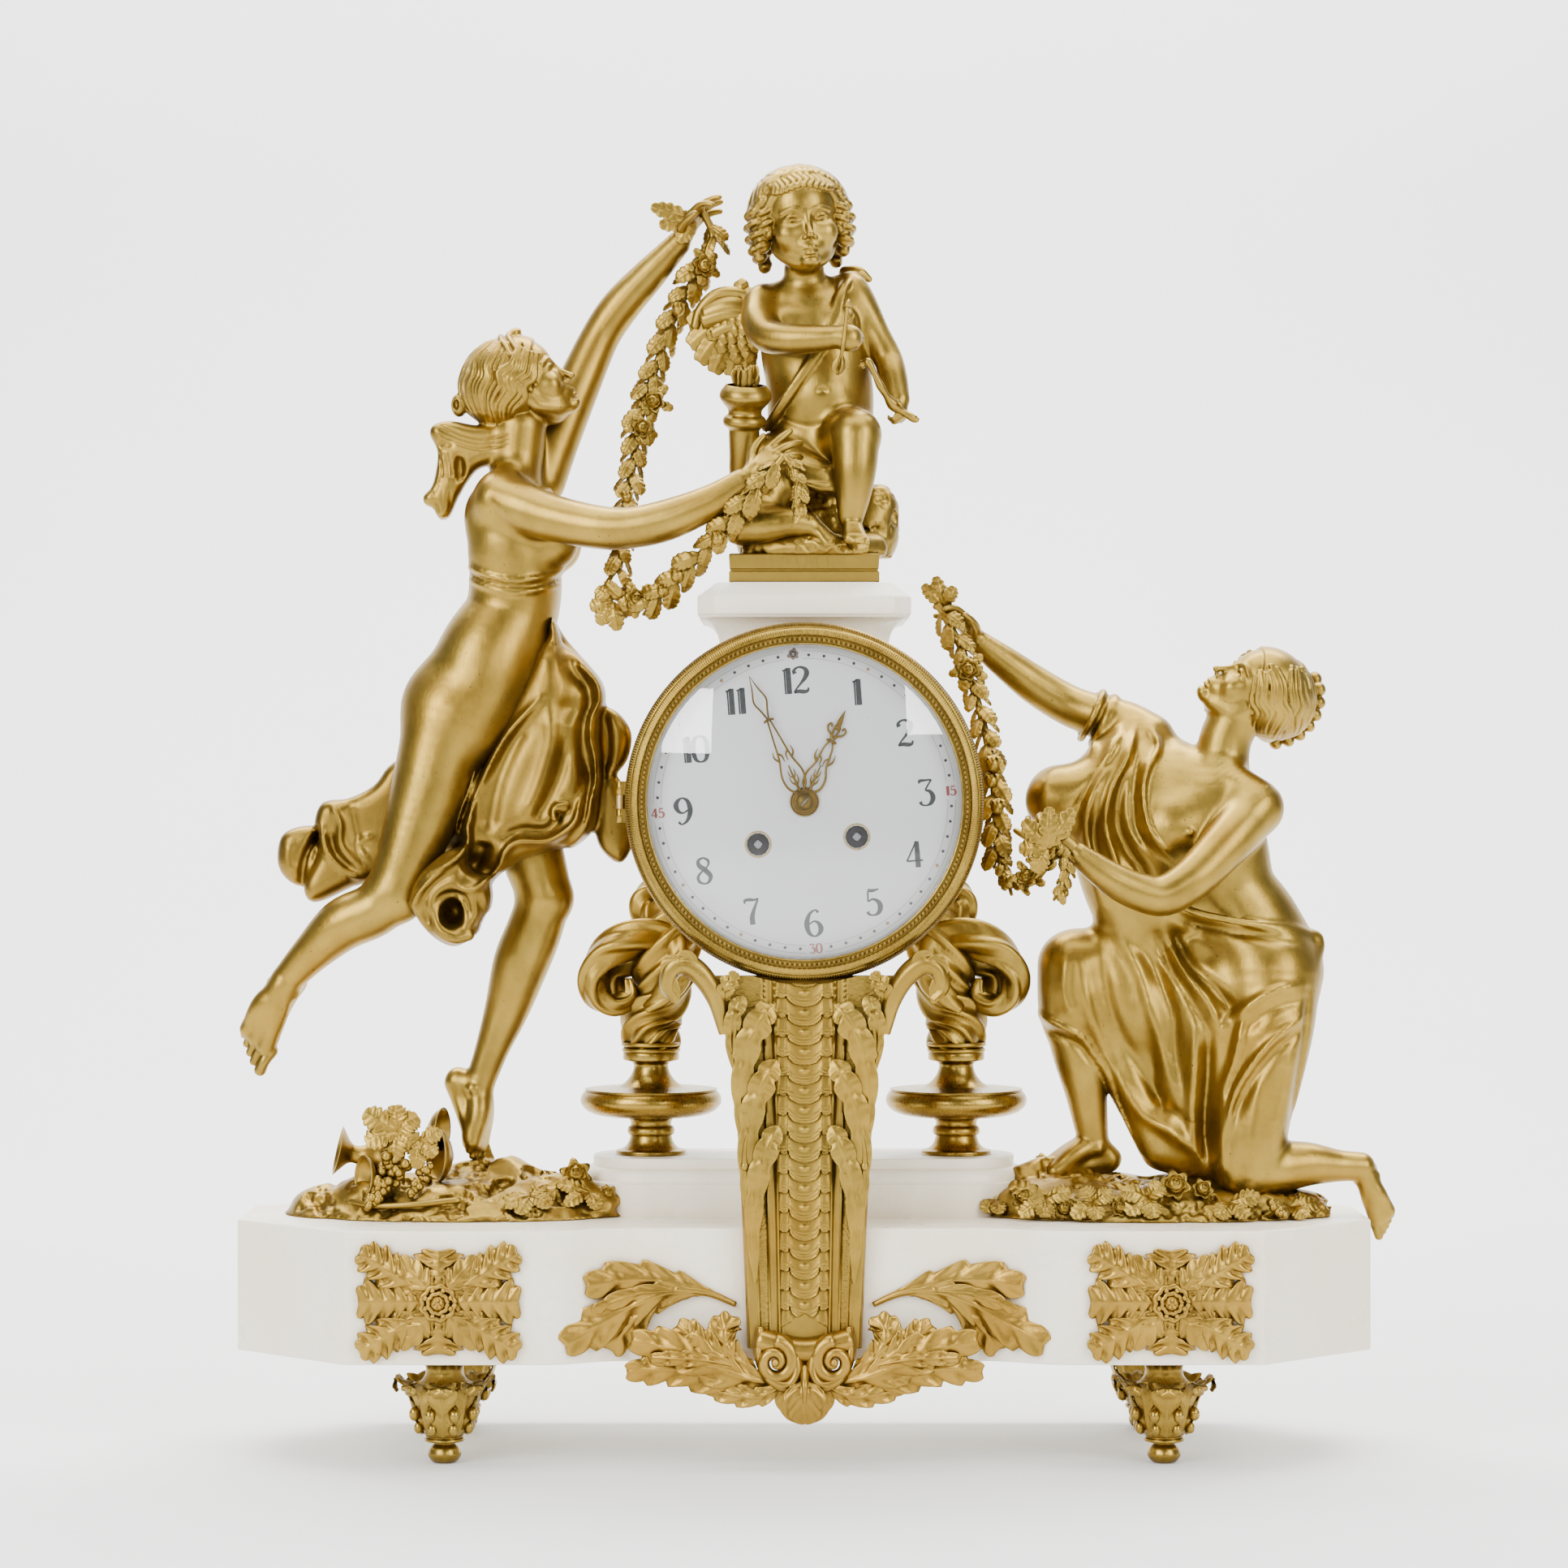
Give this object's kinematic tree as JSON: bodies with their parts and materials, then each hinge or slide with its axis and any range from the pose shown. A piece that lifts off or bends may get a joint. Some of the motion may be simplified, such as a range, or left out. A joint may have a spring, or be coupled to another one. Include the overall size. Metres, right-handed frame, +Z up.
{
  "type": "mantel clock",
  "caption": "Figural mantel clock in gilt bronze and white marble: a drum movement with pendulum and strike, held between two nymphs with garlands, a cupid above.",
  "frame": {"origin": "on the surface the clock stands on, under the middle of its overall box", "axes": "+X to the right seen from the front, +Y to the back, +Z up"},
  "size_m": [0.5494, 0.168, 0.6045],
  "materials": {
    "gilt_bronze": "satin gilt bronze with brown patina in the hollows",
    "red_gilt_bronze": "bright gilt bronze, redder",
    "marble": "polished white marble with warm staining",
    "brass": "grained clockmaker's brass",
    "steel": "polished and blued steel",
    "enamel": "white vitreous enamel with black figures",
    "glass": "clear domed glass",
    "bell_metal": "turned bell metal"
  },
  "bodies": {
    "case": {"marble_base": "marble", "marble_plinth": "marble", "marble_capital": "marble", "foot_front_left": "gilt_bronze", "foot_front_right": "gilt_bronze", "foot_rear_left": "gilt_bronze", "foot_rear_right": "gilt_bronze", "rosette_left": "red_gilt_bronze", "rosette_right": "red_gilt_bronze", "leaf_spray_left": "red_gilt_bronze", "leaf_spray_right": "red_gilt_bronze", "pedestal_left": "gilt_bronze", "pedestal_right": "gilt_bronze", "smoke_scroll_left": "gilt_bronze", "smoke_scroll_right": "gilt_bronze", "leaf_pilaster": "gilt_bronze", "scroll_apron": "red_gilt_bronze", "drum_case": "brass", "dial_ring": "brass", "dial": "enamel", "front_plate": "brass", "back_plate": "brass", "bell": "bell_metal", "bell_stand": "steel", "nymph_left": "gilt_bronze", "drapery_left": "gilt_bronze", "ground_left": "gilt_bronze", "garland_left": "gilt_bronze", "nymph_right": "gilt_bronze", "ground_right": "gilt_bronze", "garland_right": "gilt_bronze", "cupid": "gilt_bronze", "cupid_plinth": "gilt_bronze", "cupid_quiver": "gilt_bronze", "cupid_wings": "gilt_bronze", "cupid_bow": "gilt_bronze", "cupid_arrow": "gilt_bronze"},
    "front_door": {"front_bezel": "gilt_bronze", "bezel_glass": "glass"},
    "back_door": {"rear_door": "brass"},
    "minute_work": {"centre_wheel": "brass", "cannon_pinion": "steel", "minute_hand": "red_gilt_bronze", "hand_collet": "brass"},
    "hour_work": {"hour_wheel": "brass", "hour_hand": "red_gilt_bronze"},
    "motion_wheel": {"minute_wheel": "brass"},
    "third_work": {"third_wheel": "brass"},
    "escape_work": {"escape_wheel": "brass"},
    "intermediate_work": {"intermediate_wheel": "brass"},
    "going_drive": {"going_barrel": "brass"},
    "going_key_square": {"going_winding_arbor": "steel"},
    "strike_key_square": {"strike_winding_arbor": "steel"},
    "strike_drive": {"strike_barrel": "brass"},
    "strike_second": {"strike_second_wheel": "brass"},
    "strike_pins": {"strike_pin_wheel": "brass"},
    "strike_fan": {"strike_fly": "brass"},
    "pendulum_bob": {"pendulum": "brass"},
    "anchor_crutch": {"anchor": "steel"},
    "hammer_arm": {"hammer": "steel"}
  },
  "joints": [
    {"name": "front_door_hinge", "type": "hinge", "parent": "case", "child": "front_door", "pos_m": [-0.08488, -0.063, 0.3055], "axis": [0, 0, -1], "range_deg": [0, 110]},
    {"name": "back_door_hinge", "type": "hinge", "parent": "case", "child": "back_door", "pos_m": [0.07952, 0.0644, 0.3055], "axis": [0, 0, -1], "range_deg": [0, 110]},
    {"name": "minute_turn", "type": "hinge", "parent": "case", "child": "minute_work", "pos_m": [-0.00048, -0.034, 0.3055], "axis": [0, 1, 0], "continuous": true},
    {"name": "hour_turn", "type": "hinge", "parent": "case", "child": "hour_work", "pos_m": [-0.00048, -0.034, 0.3055], "axis": [0, 1, 0], "continuous": true},
    {"name": "motion_turn", "type": "hinge", "parent": "case", "child": "motion_wheel", "pos_m": [-0.00959, -0.034, 0.31331], "axis": [0, 1, 0], "continuous": true},
    {"name": "third_turn", "type": "hinge", "parent": "case", "child": "third_work", "pos_m": [-0.01117, -0.034, 0.31942], "axis": [0, 1, 0], "continuous": true},
    {"name": "escape_turn", "type": "hinge", "parent": "case", "child": "escape_work", "pos_m": [-0.00255, -0.034, 0.33242], "axis": [0, 1, 0], "continuous": true},
    {"name": "intermediate_turn", "type": "hinge", "parent": "case", "child": "intermediate_work", "pos_m": [0.01657, -0.034, 0.31283], "axis": [0, 1, 0], "continuous": true},
    {"name": "going_barrel_turn", "type": "hinge", "parent": "case", "child": "going_drive", "pos_m": [0.02352, -0.034, 0.28949], "axis": [0, 1, 0], "continuous": true},
    {"name": "going_winding", "type": "hinge", "parent": "case", "child": "going_key_square", "pos_m": [0.02352, -0.034, 0.28949], "axis": [0, 1, 0], "continuous": true},
    {"name": "strike_winding", "type": "hinge", "parent": "case", "child": "strike_key_square", "pos_m": [-0.02175, -0.034, 0.28601], "axis": [0, 1, 0], "continuous": true},
    {"name": "strike_turn", "type": "hinge", "parent": "case", "child": "strike_pins", "pos_m": [-0.02872, -0.034, 0.32511], "axis": [0, 1, 0], "continuous": true},
    {"name": "strike_second_turn", "type": "hinge", "parent": "case", "child": "strike_second", "pos_m": [-0.03371, -0.034, 0.30723], "axis": [0, 1, 0], "continuous": true},
    {"name": "strike_barrel_turn", "type": "hinge", "parent": "case", "child": "strike_drive", "pos_m": [-0.02175, -0.034, 0.28601], "axis": [0, 1, 0], "continuous": true},
    {"name": "fly_turn", "type": "hinge", "parent": "case", "child": "strike_fan", "pos_m": [-0.03194, -0.034, 0.33766], "axis": [0, 1, 0], "continuous": true},
    {"name": "pendulum_swing", "type": "hinge", "parent": "case", "child": "pendulum_bob", "pos_m": [-0.00343, -0.0076, 0.34389], "axis": [0, 1, 0], "range_deg": [-4, 4]},
    {"name": "anchor_rock", "type": "hinge", "parent": "case", "child": "anchor_crutch", "pos_m": [-0.00343, -0.0076, 0.34389], "axis": [0, 1, 0], "range_deg": [-4, 4]},
    {"name": "hammer_lift", "type": "hinge", "parent": "case", "child": "hammer_arm", "pos_m": [-0.04144, 0.01, 0.31639], "axis": [0, 1, 0], "range_deg": [0, 12], "stiffness_Nm_per_rad": 0.002, "springref_deg": -11.46}
  ],
  "couplings": [
    {"joint": "hour_turn", "follows": "minute_turn", "ratio": 0.083333},
    {"joint": "motion_turn", "follows": "minute_turn", "ratio": -0.33333},
    {"joint": "third_turn", "follows": "minute_turn", "ratio": -12},
    {"joint": "escape_turn", "follows": "minute_turn", "ratio": 144},
    {"joint": "intermediate_turn", "follows": "minute_turn", "ratio": -0.14286},
    {"joint": "going_barrel_turn", "follows": "minute_turn", "ratio": 0.02381},
    {"joint": "strike_second_turn", "follows": "strike_turn", "ratio": -0.14286},
    {"joint": "strike_barrel_turn", "follows": "strike_turn", "ratio": 0.02381},
    {"joint": "fly_turn", "follows": "strike_turn", "ratio": -8},
    {"joint": "anchor_rock", "follows": "pendulum_swing", "ratio": 1}
  ]
}
